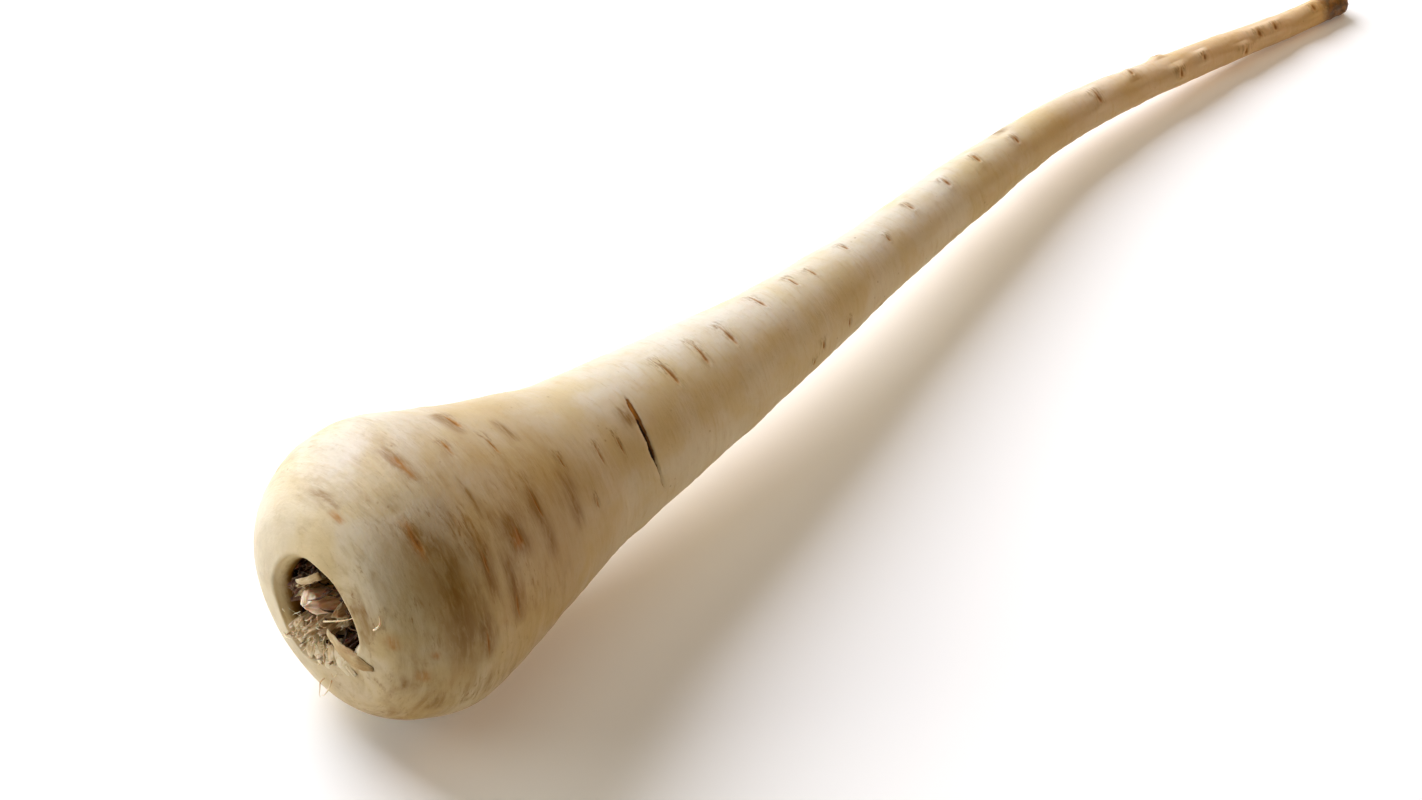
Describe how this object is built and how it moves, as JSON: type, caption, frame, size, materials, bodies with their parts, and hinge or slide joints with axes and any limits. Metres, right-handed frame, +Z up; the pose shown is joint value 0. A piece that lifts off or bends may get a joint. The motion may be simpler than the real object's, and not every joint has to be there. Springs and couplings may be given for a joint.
{
  "type": "parsnip",
  "caption": "Topped parsnip lying on its side: a thick-shouldered taproot that tapers to a long bent tail, with dried leaf-stalk stumps in the hollow of its crown.",
  "frame": {"origin": "on the surface that the parsnip lies on, under the middle of its bounding box", "axes": "+X along the root from the crown to the tip of the tail, +Z up, +Y to the side that the tail bows to"},
  "size_m": [0.3188, 0.0604, 0.0598],
  "materials": {
    "skin": "cream parsnip skin, satin, with tan transverse scars",
    "dry_stalk": "dark brown dried leaf stalk, matt",
    "pale_stalk": "pale torn fibrous leaf stalk, matt"
  },
  "bodies": {
    "root": {"root": "skin", "outer_stalk_1": "dry_stalk", "outer_stalk_2": "dry_stalk", "outer_stalk_3": "dry_stalk", "outer_stalk_4": "dry_stalk", "outer_stalk_5": "dry_stalk", "outer_stalk_6": "dry_stalk", "outer_stalk_7": "dry_stalk", "inner_stalk_1": "pale_stalk", "inner_stalk_2": "pale_stalk", "inner_stalk_3": "pale_stalk", "torn_heart": "pale_stalk"}
  },
  "joints": []
}
